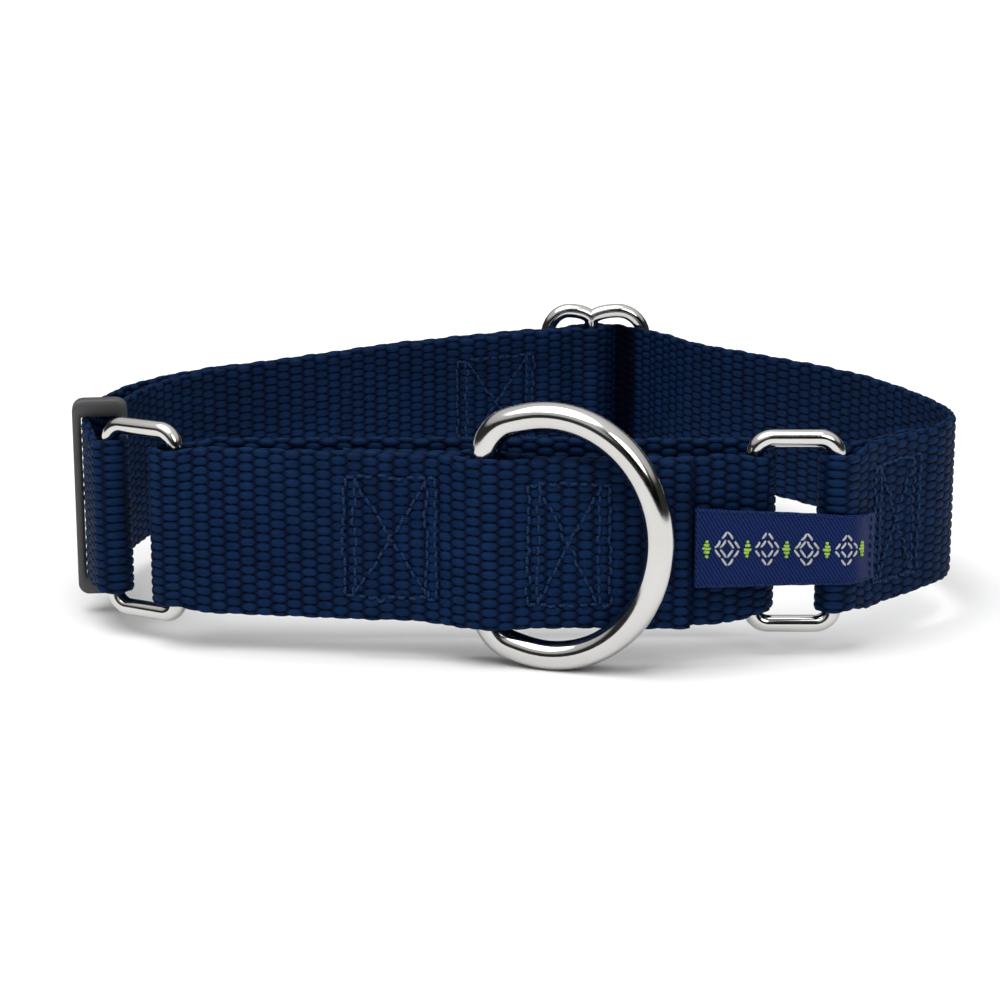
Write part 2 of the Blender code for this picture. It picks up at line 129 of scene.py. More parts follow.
TRI_FOLD_POINTS = 31
LOOP_RIGHT_POINTS = 55
LOOP_LEFT_POINTS = 35
LOOP_STRAIGHT_STEP = 2.0
BRIDGE_LEAD = 5.0
BRIDGE_AIM = (-5.0, -0.9)  # the front ply comes to the middle bar from here
FRONT_END_DROP = 3.0  # the front ply ends beside the point this far in front of the left bar
STEP = 0.5
GAP_CHANGES = ((2.0, 20.0, -0.5), (28.0, 48.0, -0.6), (48.0, 100.0, PLY_STEP - 2 * FOLD_R + 1.1))
ORIGIN = (4.14, 88.4, -8.75)  # the frame's origin

NECK = [(76.1, 8.4), (84.9, 20.0), (92.9, 28.6), (100.0, 36.4), (104.3, 44.5), (105.5, 54.5),
        (103.9, 67.0), (100.3, 80.5), (94.8, 95.0), (87.5, 108.6), (78.5, 121.5), (68.5, 133.0),
        (59.4, 143.6), (51.9, 155.0), (46.2, 167.0), (39.0, 179.3), (26.2, 187.7), (15.3, 178.9),
        (5.5, 173.6), (-7.0, 166.2), (-27.0, 152.2), (-50.0, 132.4), (-72.0, 114.2), (-84.6, 100.5),
        (-92.3, 85.5), (-96.0, 68.0), (-96.4, 50.0), (-94.2, 37.0), (-90.5, 25.3)]
NECK_SPLIT = (44.3, 170.8)
LOOP_OUTER = [(-72.0, 12.1), (-56.0, 10.2), (-40.0, 7.6), (-24.0, 5.4), (-13.5, 3.4), (-8.2, 0.2),
              (-3.2, -2.1), (2.5, -1.9), (9.0, -1.1), (24.0, -1.1), (34.0, -1.3), (41.0, -1.3)]
LOOP_UNDER = [(-34.0, 9.2), (-24.0, 7.85), (-13.5, 6.9), (-8.5, 7.2), (-3.2, 7.5), (1.8, 5.6),
              (8.0, 1.95), (14.0, 1.4), (24.0, 1.3), (34.0, 1.1), (42.0, 1.4), (50.8, 3.9)]
LOOP_END_RIGHT = (50.8, 12.45, 8.55)
LOOP_END_LEFT = (-72.0, 16.6, 4.5)
LABEL_PATH = [(41.6, -3.7), (50.0, -1.5), (60.0, 1.9), (68.0, 3.9), (73.2, 5.1), (77.3, 7.1), (82.4, 14.0)]

# -------------------- weave
FACE_ROWS = 17  # rows of warp floats across one face; the rounded edge adds one
ROWS = 2 * FACE_ROWS + 2  # rows all the way round the section
ROW_CELLS = 4
COLUMN_LOOP = 3.43  # length of one weave column along the control loop
COLUMN_NECK = 4.05
LOOP_CELLS = 6  # mesh cells along one column
NECK_CELLS = 5
PATH_STEP = 0.25
PATH_ROUNDING = 7  # steps over which a route is averaged
LENS_REACH = 0.74  # half length of a float, in columns
LENS_HALF_ROW = 0.52  # half height of a float at its middle, in rows
LENS_TAPER = 0.95  # how pointed its ends are
LENS_FALL = 0.62  # how fast it sinks towards them
RELIEF = 0.58  # height of the floats above the gaps between them
RELIEF_LEVEL = 0.55  # share of that height which lies below HALF_THICK
RELIEF_SPREAD = 0.22  # how unequal the floats are
HALF_THICK = 0.86  # half thickness of the webbing
EDGE_WANDER = 0.14
ROW_WANDER = 0.10
GROOVE_DEPTH = 0.12  # faint grooves between some columns
SEAM_DEPTH = 0.34  # how far a seam pulls the face in
SEAM_REACH = 1.0
MESS_REACH = 3.0  # how far from a seam the weave is disturbed
MESS_JOG = (0.22, 0.20)  # shift of the floats there, in columns and rows
MESS_FLATTEN = 0.30
MESS_LUMP = 0.17
RIPPLE_PERIODS = (2.3, 3.9, 7.1, 12.7)
RIPPLE_SHARE = 0.32
RNG_SEED = 7
LOOP_SEED = 11
NECK_SEED = 23
JOINT_LAP = 2  # samples by which the two neck webbings lap at the tri-glide
# Weave colours: the first is painted shade, the dark of the gaps between the floats and of the strap deep in
# the tri-glide; the second is the float colour, reached only along each float's middle as a painted
# highlight.
WEB_GAP_SHADE = (0.0001, 0.0006, 0.0050)
WEB_FLOAT = (0.0034, 0.0145, 0.0490)
SLOT_SHADE = (32.6, 33.6, 39.8, 40.8)  # plan X over which the recessed strap in the tri-glide gets painted shade
SLOT_FROM_Y = 176.0
SLOT_FADE = 0.004  # metres over which that painted shade begins

# -------------------- sewing
THREAD_SIDES = 8
STITCH_PITCH = 2.3
STITCH_GAP = 0.35
STITCH_STRAY = 0.24  # how far a stitch wanders
STITCH_POINTS = 7
STITCH_SINK = 0.30  # depth of a stitch's ends below the face
STITCH_RISE = 0.42  # height of its middle above them
STITCH_RISE_SPREAD = 0.04
STITCH_INTO_FACE = 0.06
THREAD_R = 0.38
BOX_HALF = 13.4  # half height of a box stitch
BOX_ROWS = 2  # rows of stitches at each end of a box
BOX_ROW_STEP = 2.3
CROSS_INSET = 0.6
FRONT_BOXES = ((-33.6, -13.4), (5.8, 23.6))  # X of the two box stitches beside the D-ring
RIGHT_BOX = (10.2, 28.2)  # along the strap from the right ring
RIGHT_BOX_SHIFT = 1.0  # of its far side, from the mirrored place
TRI_BOX = (-12.0, 9.0)
TRI_BOX_HALF = 12.6
TRI_BOX_REACH = 15.0  # its ends are looked for up to this far before the back ply
LOOP_UNDER_END = 84.0  # the under ply ends before this length
MOTIF_COUNT = 4
MOTIF_START = 7.2
MOTIF_STEP = 9.3
MOTIF_HALF_WIDTH = 2.9
MOTIF_HALF_HEIGHT = 4.0
MOTIF_CENTRE_SHARE = 0.55  # size of the diamond inside each diamond
DASH_RISES = (-1.6, -0.8, 0.0, 0.8, 1.6)
DASH_REACH = 1.15
DASH_SLOPE = 0.45  # the dashes shorten by this for each millimetre off the middle
LABEL_ROWS = 36
LABEL_CELL = 0.45
LABEL_CORNER_POINTS = 6
LABEL_WAVE = 0.10
LABEL_WANDER = 0.08
LABEL_BORDER = 0.45
LABEL_SEAM = 1.6
LABEL_STRAY = 0.08

# -------------------- bends (X only; nothing is bent)
BACK_BEND = (41.0, 50.0)  # the strap beside the tri-glide bends between these X in use; here they only become frame points that nothing reads
LABEL_BEND = (68.0, 78.0)  # and the label between these, likewise unused

# -------------------- light
WORLD_STRENGTH = 1.0
BACKDROP = (0.93, 0.93, 0.93)
# Height and brightness of the studio's steps.
WORLD_STOPS = ((0.02, 0.30), (0.05, 0.03), (0.36, 0.04), (0.46, 0.60))
DARK_SIDE = (0.42, -0.80, 0.43)  # a dark studio wall behind the camera
DARK_SIDE_EDGE = (0.84, 0.93)
DARK_SIDE_LEVEL = 0.04
# Name, direction, spread in degrees and strength.
SUNS = (("key_overhead", (0.25, 0.25, -1.0), 55.0, 2.3), ("front_fill", (-0.5, 0.8, -0.75), 30.0, 0.78))
FLOOR_HALF = 30.0

CAMERA_AT = (0.0, -500.5, 144.5)
CAMERA_PITCH = 13.05
CAMERA_LENS = 86.4


# -------------------- plan geometry
def to_frame(points):
    """Plan millimetres to the frame in metres, for one point or an array of them."""
    return (np.asarray(points, float) - np.array(ORIGIN)) / 1000


def lengths(path):
    return np.concatenate([[0.0], np.cumsum(np.linalg.norm(np.diff(path, axis=0), axis=1))])


def resample(path, step):
    s = lengths(path)
    t = np.linspace(0.0, s[-1], max(2, int(round(s[-1] / step)) + 1))
    return np.column_stack([np.interp(t, s, path[:, k]) for k in range(path.shape[1])])


def smooth(points, step):
    """Centripetal Catmull-Rom curve through the points, resampled every step."""
    p = np.array(points, float)
    p = np.vstack([2 * p[0] - p[1], p, 2 * p[-1] - p[-2]])
    out = []
    for i in range(1, len(p) - 2):
        q = p[i - 1:i + 3]
        t = np.concatenate([[0.0], np.cumsum(np.sqrt(np.linalg.norm(np.diff(q, axis=0), axis=1)))])
        for u in np.linspace(t[1], t[2], 40, endpoint=False):
            a = [((t[k + 1] - u) * q[k] + (u - t[k]) * q[k + 1]) / (t[k + 1] - t[k]) for k in range(3)]
            b = [((t[k + 2] - u) * a[k] + (u - t[k]) * a[k + 1]) / (t[k + 2] - t[k]) for k in range(2)]
            out.append(((t[2] - u) * b[0] + (u - t[1]) * b[1]) / (t[2] - t[1]))
    out.append(p[-2])
    return resample(np.array(out), step)


def left_normals(path):
    """Unit normals to the left of the direction of travel."""
    d = np.gradient(path, axis=0)
    d /= np.linalg.norm(d, axis=1)[:, None]
    return np.column_stack([-d[:, 1], d[:, 0]])


def nearest(path, point):
    return int(np.argmin(np.linalg.norm(path - np.array(point), axis=1)))


def ramp(t, start, end):
    x = np.clip((t - start) / (end - start), 0.0, 1.0)
    return x * x * (3 - 2 * x)


def arc(centre, radius, start, end, count):
    a = np.radians(np.linspace(start, end, count))
    return np.column_stack([centre[0] + radius * np.cos(a), centre[1] + radius * np.sin(a)])


def angle_of(vector):
    return math.degrees(math.atan2(vector[1], vector[0]))


class NeckLayout:
    """The neck strap's centre lines and the bars that it turns round."""

    def __init__(self):
        run = smooth(NECK, STEP)
        inward = left_normals(run)
        s = lengths(run)
        back_s = s[-1] - s
        self.right_bar = run[0] + inward[0] * FOLD_R
        self.left_bar = run[-1] + inward[-1] * FOLD_R
        self.middle_bar = np.array([TRI_BARS[1], TRI_Y])
        split = nearest(run, NECK_SPLIT)
        middle = nearest(run, self.middle_bar + (0.0, TRI_FOLD_R + PLY_STEP))
        left_bar_at = nearest(run, (TRI_BARS[0], TRI_Y - FRONT_END_DROP))
        tail_end = int(np.argmin(np.abs(s - s[left_bar_at] - TRI_TAIL)))

        gap = 2 * FOLD_R + (PLY_STEP - 2 * FOLD_R) * ramp(s, 0.0, RIGHT_CLOSE)
        inner = run + inward * gap[:, None]
        tail = inner[(s > STEP) & (s < SEWN_END)][::-1]
        start = angle_of(-inward[0])
        turn = arc(self.right_bar, FOLD_R, start - 180.0, start, FOLD_POINTS)
        self.right = np.vstack([tail, turn[1:], run[1:split + 1 + JOINT_LAP]])
        self.right_tail_length = lengths(np.vstack([tail, turn[1:]]))[-1]

        gap = 2 * FOLD_R + sum(change * ramp(back_s, start, end) for start, end, change in GAP_CHANGES)
        gap = gap + PLY_STEP * ramp(s[tail_end] + TAIL_CLEAR + TAIL_RISE - s, 0.0, TAIL_RISE)
        inner = run + inward * gap[:, None]
        front = inner[left_bar_at:-1][::-1]
        start = angle_of(-inward[-1])
        turn_left = arc(self.left_bar, FOLD_R, start, start + 180.0, FOLD_POINTS)
        turn_mid = arc(self.middle_bar, TRI_FOLD_R, -90.0, 90.0, TRI_FOLD_POINTS)
        lead = int(round(BRIDGE_LEAD / STEP))
        bridge = smooth([front[-1 - lead], front[-1], turn_mid[0] + BRIDGE_AIM, turn_mid[0]], STEP)
        bridge = bridge[nearest(bridge, front[-1]) + 1:-1]
        back = (run + inward * PLY_STEP)[middle + 1:tail_end + 1]
        self.left = np.vstack([run[split:-1], turn_left, front, bridge, turn_mid, back])
        self.front_start = lengths(np.vstack([run[split:-1], turn_left]))[-1]
        front_run = lengths(np.vstack([turn_left[-1:], front, bridge, turn_mid]))[-1]
        self.back_start = self.front_start + front_run
        at = int(np.argmin(np.abs(back_s - KEEPER_REACH)))
        self.keeper_mid = (run + inward * gap[:, None] / 2)[at]
        self.keeper_dir = run[at + 2] - run[at - 2]
        self.keeper_dir /= np.linalg.norm(self.keeper_dir)
        self.keeper_gap = float(gap[at])
        turn = np.radians(RING_LEFT_ANGLE)
        self.left_inner_bar = self.left_bar + RING_BAR_SPACING * np.array([np.cos(turn), np.sin(turn)])
        self.right_inner_bar = self.right_bar - (RING_BAR_SPACING, 0.0)


def loop_plies():
    """The control loop's centre line and the length at which its outer ply starts."""
    under = smooth(LOOP_UNDER, STEP)
    outer = smooth(LOOP_OUTER, STEP)
    right = arc(LOOP_END_RIGHT[:2], LOOP_END_RIGHT[2], -90.0, 90.0, LOOP_RIGHT_POINTS)
    left = arc(LOOP_END_LEFT[:2], LOOP_END_LEFT[2], 90.0, 270.0, LOOP_LEFT_POINTS)
    straight = resample(np.array([right[-1], left[0]]), LOOP_STRAIGHT_STEP)
    path = np.vstack([under, right[1:], straight[1:-1], left, outer[1:]])
    return path, lengths(path)[-1] - lengths(outer)[-1]


# -------------------- mesh helpers
def mesh_object(name, points, faces, mat, uv=None, flat=()):
    """A mesh from frame points in metres. uv has one pair per face corner; flat lists flat-shaded faces."""
    mesh = bpy.data.meshes.new(name)
    mesh.from_pydata([tuple(p) for p in points], [], faces)
    mesh.shade_smooth()
    for k in flat:
        mesh.polygons[k].use_smooth = False
    if uv is not None:
        layer = mesh.uv_layers.new(name="weave")
        layer.data.foreach_set("uv", np.asarray(uv, np.float32).ravel())
    mesh.materials.append(mat)
    mesh.validate()
    obj = bpy.data.objects.new(name, mesh)
    bpy.context.scene.collection.objects.link(obj)
    return obj


def wrap(x):
    """x less the nearest whole number."""
    return x - np.floor(x + 0.5)


def lens(a, b):
    """Height of one float: a runs along it in columns, b across it in rows, both from its middle."""
    q = np.clip(1 - (a / LENS_REACH) ** 2, 0.001, 1.0)
    e = 1 - np.abs(b / (LENS_HALF_ROW * q ** LENS_TAPER)) ** 3
    return np.sqrt(np.clip(e, 0.0, 1.0)) * q ** LENS_FALL


def weave_height(u, v):
    """Relief from 0 to 1 at u columns along the webbing and v rows round its section."""
    even = lens(2 * wrap(u / 2), wrap(v - 0.5))
    odd = lens(2 * wrap((u - 1) / 2), wrap(v))
    return np.maximum(even, odd)


def ripple(u, seed):
    """A smooth random wave, roughly from -1 to 1, with a period of a few units."""
    rng = np.random.default_rng(seed)
    total = np.zeros_like(np.asarray(u, float))
    for period in RIPPLE_PERIODS:
        total = total + np.sin(2 * np.pi * (u / period + rng.random())) * RIPPLE_SHARE
    return total


class Strap:
    """A length of webbing swept along a plan path."""

    def __init__(self, path, column=1.0, cells=1, bars=(), seed=RNG_SEED):
        fine = resample(path, PATH_STEP)
        kernel = np.hanning(PATH_ROUNDING)
        kernel /= kernel.sum()
        pad = PATH_ROUNDING // 2
        for k in range(2):
            line = fine[:, k]
            head = 2 * line[0] - line[1:pad + 1][::-1]
            tail = 2 * line[-1] - line[-pad - 1:-1][::-1]
            fine[:, k] = np.convolve(np.concatenate([head, line, tail]), kernel, "valid")
        self.path = fine
        self.s = lengths(fine)
        self.normal = left_normals(fine)
        self.length = self.s[-1]
        self.column = column
        self.cells = cells
        self.bars = bars
        self.seed = seed
        self.phase = 0.0
        self.seams = []

    def at(self, s, offset):
        """Plan point at s along the strap, offset to its left."""
        x = np.interp(s, self.s, self.path[:, 0]) + offset * np.interp(s, self.s, self.normal[:, 0])
        y = np.interp(s, self.s, self.path[:, 1]) + offset * np.interp(s, self.s, self.normal[:, 1])
        return np.stack(np.broadcast_arrays(x, y), axis=-1)

    def s_near(self, x, low, high):
        """Length at which the strap passes the plan position x, between two lengths."""
        inside = (self.s >= low) & (self.s <= high)
        return float(self.s[inside][np.argmin(np.abs(self.path[inside, 0] - x))])

    def half_width(self, s):
        width = np.full(np.shape(s), WEB_WIDTH)
        points = self.at(s, 0.0)
        for x, y, squeeze in self.bars:
            d = np.linalg.norm(points - (x, y), axis=-1)
            width = np.minimum(width, WEB_WIDTH - squeeze * (1 - ramp(d, SQUEEZE_FULL, SQUEEZE_REACH)))
        return width / 2

    def pull(self, s, w):
        """How far the seams pull the faces in at (s, w), and how disturbed the weave is there."""
        depth = np.zeros(np.broadcast(s, w).shape)
        mess = np.zeros_like(depth)
        for seam in self.seams:
            for (s0, w0), (s1, w1) in seam:
                ds, dw = s1 - s0, w1 - w0
                t = np.clip(((s - s0) * ds + (w - w0) * dw) / (ds * ds + dw * dw), 0.0, 1.0)
                d2 = (s - s0 - t * ds) ** 2 + (w - w0 - t * dw) ** 2
                depth = np.maximum(depth, np.exp(-d2 / SEAM_REACH ** 2))
                mess = np.maximum(mess, np.exp(-d2 / MESS_REACH ** 2))
        return depth, mess

    def relief(self, s, u, v, w, face):
        """How far the woven surface stands out past HALF_THICK. Bare numbers keep the waves out of step."""
        lane = np.floor(v)
        depth, mess = self.pull(s, w)
        jog_u = mess * MESS_JOG[0] * ripple(u * 2.3 + 1.1 * v, self.seed + 13)
        jog_v = mess * MESS_JOG[1] * ripple(u * 1.9 - 0.8 * v, self.seed + 17)
        height = weave_height(u + jog_u, v + jog_v)
        lift = RELIEF * (height - RELIEF_LEVEL)
        lift = lift * (1 + RELIEF_SPREAD * ripple(u * 1.3 + 0.37 * lane, self.seed + 3))
        lift = lift * (1 - MESS_FLATTEN * mess) - SEAM_DEPTH * depth * face
        lift = lift + MESS_LUMP * mess * ripple(u * 3.1 + 1.9 * lane, self.seed + 5) * face
        groove = np.clip(np.cos(np.pi * (u - 0.5)), 0.0, 1.0) ** 6
        strength = np.clip(0.35 + 0.65 * ripple(u / 3.3, self.seed + 9), 0.0, 1.0)
        return lift - GROOVE_DEPTH * groove * strength * face

    def build(self, name, mat):
        """The strap as a mesh: a ring of section points at every cell along it, and two closed ends.

        The section starts at the foot of the face on the path's left (FACE_ROWS rows, upwards) and
        goes on with the top edge, the face on the right downwards and the bottom edge.
        """
        cell = self.column / self.cells
        count = int(round(self.length / cell))
        s = np.linspace(0.0, self.length, count + 1)[:, None]
        u = (s + self.phase) / self.column
        around = ROWS * ROW_CELLS
        v = (np.arange(around) / ROW_CELLS)[None, :]
        half = self.half_width(s[:, 0])[:, None]
        half = half + EDGE_WANDER * ripple(u / 1.7, self.seed)
        turn_top = np.clip(v - FACE_ROWS, 0.0, 1.0)
        turn_bottom = np.clip(v - 2 * FACE_ROWS - 1, 0.0, 1.0)
        flat = np.clip(v, 0.0, FACE_ROWS) - np.clip(v - FACE_ROWS - 1, 0.0, FACE_ROWS)
        across_n = np.cos(np.pi * (turn_top + turn_bottom)) + 0 * s
        across_z = np.sin(np.pi * turn_top) - np.sin(np.pi * turn_bottom) + 0 * s
        w = (half - HALF_THICK) * (2 * flat / FACE_ROWS - 1) + HALF_THICK * across_z
        face = np.clip(np.abs(np.cos(np.pi * turn_top) * np.cos(np.pi * turn_bottom)), 0, 1)
        lift = self.relief(s, u, v, w, face)
        offset = HALF_THICK * across_n + lift * across_n
        rise = w + lift * across_z + ROW_WANDER * ripple(u / 2.1 + np.floor(v) * 0.05, self.seed + 1)
        plan = self.at(s + 0 * v, offset)
        points = np.dstack([plan, WEB_MID_Z + rise]).reshape(-1, 3)
        index = np.arange(len(points)).reshape(count + 1, around)
        nxt = np.roll(index, -1, axis=1)
        faces = np.stack([index[:-1], nxt[:-1], nxt[1:], index[1:]], axis=-1).reshape(-1, 4).tolist()
        u_wide = u + 0 * v
        v_wide = v + 0 * u
        v_next = v_wide + 1.0 / ROW_CELLS
        corners = ((u_wide[:-1], v_wide[:-1]), (u_wide[:-1], v_next[:-1]),
                   (u_wide[1:], v_next[1:]), (u_wide[1:], v_wide[1:]))
        uv = np.stack([np.stack(pair, -1) for pair in corners], axis=2).reshape(-1, 2).tolist()
        flat_faces = []
        for row, ring in ((0, index[0]), (count, index[-1])):
            for cap in section_cap(row > 0):
                flat_faces.append(len(faces))
                faces.append([int(ring[k]) for k in cap])
                uv.extend([[float(u[row, 0]), k / ROW_CELLS] for k in cap])
        return mesh_object(name, to_frame(points), faces, mat, uv, flat_faces)


def section_cap(far):
    """Vertex numbers of the faces that close one end of a strap's section."""
    face = FACE_ROWS * ROW_CELLS
    edge = ROW_CELLS
    top = list(range(face, face + edge + 1))
    bottom = list(range(2 * face + edge, 2 * face + 2 * edge)) + [0]
    strips = [(k, 2 * face + edge - k, 2 * face + edge - k - 1, k + 1) for k in range(face)]
    made = [top, bottom, *[[q[0], q[3], q[2], q[1]] for q in strips]]
    return [m[::-1] for m in made] if far else made


def sweep(points, radius, sides, closed, plane=None):
    """Vertices, faces and uv of a round tube along 3D plan points; open tubes get flat ends."""
    p = np.array(points, float)
    if closed:
        d = np.roll(p, -1, axis=0) - np.roll(p, 1, axis=0)
    else:
        d = np.gradient(p, axis=0)
    d /= np.linalg.norm(d, axis=1)[:, None]
    if plane is None:
        plane = np.cross(p[1] - p[0], p[len(p) // 3] - p[0])
    plane = plane / np.linalg.norm(plane)
    across = np.cross(d, plane)
    across /= np.linalg.norm(across, axis=1)[:, None]
    r = np.broadcast_to(radius, len(p))[:, None, None]
    a = (2 * np.pi * (np.arange(sides) + 0.5) / sides)[None, :, None]
    rings = p[:, None, :] + r * (np.cos(a) * across[:, None, :] + np.sin(a) * plane)
    verts = rings.reshape(-1, 3)
    index = np.arange(len(verts)).reshape(len(p), sides)
    one, two = (index, np.roll(index, -1, axis=0)) if closed else (index[:-1], index[1:])
    corners = [one, np.roll(one, -1, axis=1), np.roll(two, -1, axis=1), two]
    faces = np.stack(corners, -1).reshape(-1, 4).tolist()
    s = lengths(np.vstack([p, p[:1]]))
    uv = []
    for k in range(len(one)):
        for j in range(sides):
            uv += [[s[k], j], [s[k], j + 1], [s[k + 1], j + 1], [s[k + 1], j]]
    if not closed:
        for ring, at, order in ((index[0], s[0], -1), (index[-1], s[len(p) - 1], 1)):
            faces.append([int(q) for q in ring[::order]])
            uv += [[at, j] for j in range(sides)]
    return verts, faces, uv


def join(parts):
    """One vertex, face and uv list from several sweeps."""
    verts, faces, uv, base = [], [], [], 0
    for v, f, t in parts:
        verts.append(v)
        faces += [[base + k for k in face] for face in f]
        uv += t
        base += len(v)
    return np.vstack(verts), faces, uv


# -------------------- materials
class Nodes:
    """Short calls for building the node tree of one material or world."""

    def __init__(self, owner, shader):
        self.owner = owner
        owner.use_nodes = True
        self.tree = owner.node_tree
        self.shader = self.tree.nodes[shader]

    def add(self, kind, **settings):
        node = self.tree.nodes.new(kind)
        for key, value in settings.items():
            setattr(node, key, value)
        return node

    def feed(self, value, socket):
        if isinstance(value, bpy.types.NodeSocket):
            self.tree.links.new(value, socket)
        else:
            socket.default_value = value

    def math(self, operation, *values, clamp=False):
        node = self.add("ShaderNodeMath", operation=operation, use_clamp=clamp)
        for value, socket in zip(values, node.inputs):
            self.feed(value, socket)
        return node.outputs[0]

    def times(self, one, two):
        return self.math("MULTIPLY", one, two)

    def plus(self, one, two):
        return self.math("ADD", one, two)

    def minus(self, one, two):
        return self.math("SUBTRACT", one, two)

    def smoothstep(self, value, low, high, to_low=0.0, to_high=1.0):
        node = self.add("ShaderNodeMapRange", interpolation_type="SMOOTHSTEP")
        for socket, x in zip(node.inputs, (value, low, high, to_low, to_high)):
            self.feed(x, socket)
        return node.outputs[0]

    def mix(self, factor, one, two, blend="MIX"):
        node = self.add("ShaderNodeMix", data_type="RGBA", blend_type=blend)
        self.feed(factor, node.inputs["Factor"])
        for name, value in (("A", one), ("B", two)):
            socket = [q for q in node.inputs if q.name == name and q.type == "RGBA"][0]
            self.feed((*value, 1.0) if isinstance(value, tuple) else value, socket)
        return [q for q in node.outputs if q.type == "RGBA"][0]

    def combine(self, x, y, z=0.0):
        node = self.add("ShaderNodeCombineXYZ")
        for value, socket in zip((x, y, z), node.inputs):
            self.feed(value, socket)
        return node.outputs[0]

    def noise(self, vector, scale, detail=2.0, roughness=0.5):
        node = self.add("ShaderNodeTexNoise")
        self.feed(vector, node.inputs["Vector"])
        node.inputs["Scale"].default_value = scale
        node.inputs["Detail"].default_value = detail
        node.inputs["Roughness"].default_value = roughness
        return node.outputs["Fac"]

    def weave_noise(self, u, v, per_column, per_row, detail=2.0, roughness=0.5):
        where = self.combine(self.times(u, per_column), self.times(v, per_row))
        return self.noise(where, 1.0, detail, roughness)

    def shade(self, colour, tone):
        """The colour made lighter or darker by tone."""
        return self.mix(1.0, colour, self.combine(tone, tone, tone), "MULTIPLY")

    def weave_uv(self):
        node = self.add("ShaderNodeUVMap", uv_map="weave")
        split = self.add("ShaderNodeSeparateXYZ")
        self.tree.links.new(node.outputs[0], split.inputs[0])
        return split.outputs[0], split.outputs[1]

    def place_mm(self):
        """Object coordinates in millimetres."""
        where = self.add("ShaderNodeTexCoord")
        scale = self.add("ShaderNodeVectorMath", operation="SCALE")
        self.tree.links.new(where.outputs["Object"], scale.inputs[0])
        scale.inputs["Scale"].default_value = 1000.0
        return scale.outputs[0]

    def bump(self, height, distance_mm, strength=1.0):
        node = self.add("ShaderNodeBump")
        node.inputs["Strength"].default_value = strength
        node.inputs["Distance"].default_value = distance_mm / 1000
        self.tree.links.new(height, node.inputs["Height"])
        self.tree.links.new(node.outputs[0], self.shader.inputs["Normal"])

    def set(self, **values):
        for key, value in values.items():
            name = key.replace("_", " ").title()
            name = "Specular IOR Level" if name == "Specular" else name
            self.feed((*value, 1.0) if isinstance(value, tuple) else value, self.shader.inputs[name])


def material(name):
    return Nodes(bpy.data.materials.new(name), "Principled BSDF")


def wrap_nodes(n, value):
    return n.minus(n.math("FRACT", n.plus(value, 0.5)), 0.5)


def lens_nodes(n, a, b):
    """The same float shape as lens(), as nodes."""
    share = n.math("DIVIDE", a, LENS_REACH)
    q = n.math("MAXIMUM", n.minus(1.0, n.times(share, share)), 0.001)
    width = n.times(n.math("POWER", q, LENS_TAPER), LENS_HALF_ROW)
    across = n.math("ABSOLUTE", n.math("DIVIDE", b, width))
    e = n.math("SUBTRACT", 1.0, n.math("POWER", across, 3.0), clamp=True)
    return n.times(n.math("SQRT", e), n.math("POWER", q, LENS_FALL))


def slot_shade(n, v):
    """Mask of painted shade: 1 on the inner face where the strap lies deep between the tri-glide's middle
    and right bars.
    """
    where = n.add("ShaderNodeTexCoord")
    split = n.add("ShaderNodeSeparateXYZ")
    n.feed(where.outputs["Object"], split.inputs[0])
    x, y = split.outputs[0], split.outputs[1]
    edges = [float(to_frame((q, SLOT_FROM_Y, 0.0))[0]) for q in SLOT_SHADE]
    start = float(to_frame((0.0, SLOT_FROM_Y, 0.0))[1])
    rise = n.smoothstep(x, edges[0], edges[1])
    fall = n.smoothstep(x, edges[2], edges[3], 1.0, 0.0)
    band = n.times(n.times(rise, fall), n.smoothstep(y, start, start + SLOT_FADE))
    return n.times(band, n.smoothstep(v, FACE_ROWS + 0.2, FACE_ROWS + 0.8, 1.0, 0.0))


def webbing_material():
    n = material("navy_webbing_weave")
    u, v = n.weave_uv()
    even_a = n.times(wrap_nodes(n, n.math("DIVIDE", u, 2.0)), 2.0)
    odd_a = n.times(wrap_nodes(n, n.math("DIVIDE", n.minus(u, 1.0), 2.0)), 2.0)
    even = lens_nodes(n, even_a, wrap_nodes(n, n.minus(v, 0.5)))
    odd = lens_nodes(n, odd_a, wrap_nodes(n, v))
    height = n.math("MAXIMUM", even, odd)
    fibres = n.weave_noise(u, v, 1.6, 9.0, 2.0, 0.6)
    blotches = n.weave_noise(u, v, 0.9, 0.35, 1.0)
    drift = n.weave_noise(u, v, 0.09, 0.12, 1.0)
    # Painted light on the weave: the colour sinks to painted shade in the gaps between the floats and
    # towards the boundaries between columns, and reaches the float colour only along each float's middle, as
    # a painted highlight.
    boundary = n.math("ABSOLUTE", wrap_nodes(n, n.minus(u, 0.5)))
    body = n.times(n.smoothstep(height, 0.16, 0.98), n.smoothstep(boundary, 0.0, 0.20, 0.55, 1.0))
    colour = n.mix(body, WEB_GAP_SHADE, WEB_FLOAT)
    # Painted shade on the strap deep in the tri-glide, in the gap colour.
    colour = n.mix(slot_shade(n, v), colour, WEB_GAP_SHADE)
    tone = n.plus(n.times(blotches, 0.80), n.times(fibres, 1.30))
    tone = n.plus(n.plus(tone, n.times(drift, 0.40)), -0.15)
    colour = n.shade(colour, tone)
    n.set(base_color=colour, roughness=n.smoothstep(fibres, 0.3, 0.7, 0.52, 0.70), specular=0.030)
    relief = n.plus(n.times(height, 0.75), n.times(fibres, 0.22))
    n.bump(relief, 0.42, 0.9)
    return n.owner


